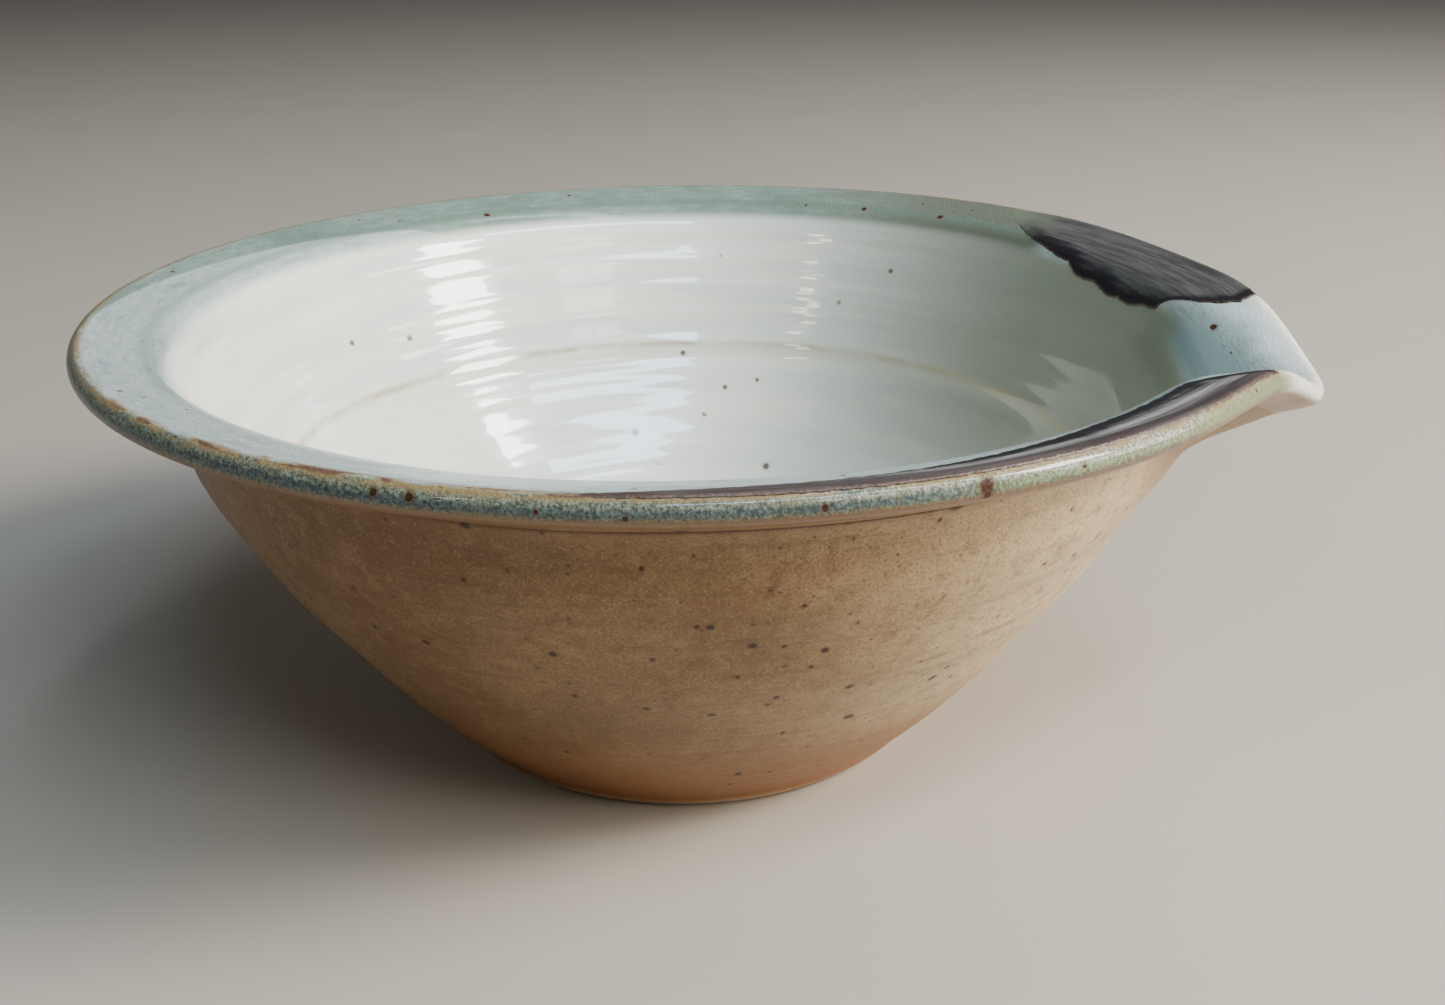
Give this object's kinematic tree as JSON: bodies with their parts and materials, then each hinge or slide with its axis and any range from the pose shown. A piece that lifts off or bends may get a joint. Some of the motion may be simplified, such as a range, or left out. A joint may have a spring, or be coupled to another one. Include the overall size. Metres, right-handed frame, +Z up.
{
  "type": "spouted mixing bowl",
  "caption": "Wide hand-thrown stoneware bowl with a flat rolled rim, one pulled pouring spout and a trimmed foot ring, glazed inside and out.",
  "frame": {"origin": "on the turning axis, in the plane that the foot ring stands on", "axes": "+Z up along the turning axis; +X along the pouring spout; +Y completes a right-handed frame"},
  "size_m": [0.2691, 0.26, 0.1023],
  "materials": {
    "bare_stoneware": "unglazed toasted buff stoneware, matt, with fine iron grog",
    "liner_glaze": "glossy off-white to pale grey-green glaze over throwing rings, sparse iron specks",
    "rim_glaze": "glossy blue-grey celadon glaze that breaks ochre on the edge",
    "outer_glaze": "satin warm cream glaze with dark iron specks",
    "iron_wash": "near-black purple-brown brushed iron, semi-gloss, rusty at the edges"
  },
  "bodies": {
    "root": {"stoneware_body": "bare_stoneware", "liner_glaze": "liner_glaze", "rim_glaze": "rim_glaze", "outer_glaze": "outer_glaze", "iron_patch_right": "iron_wash", "iron_patch_left": "iron_wash"}
  },
  "joints": []
}
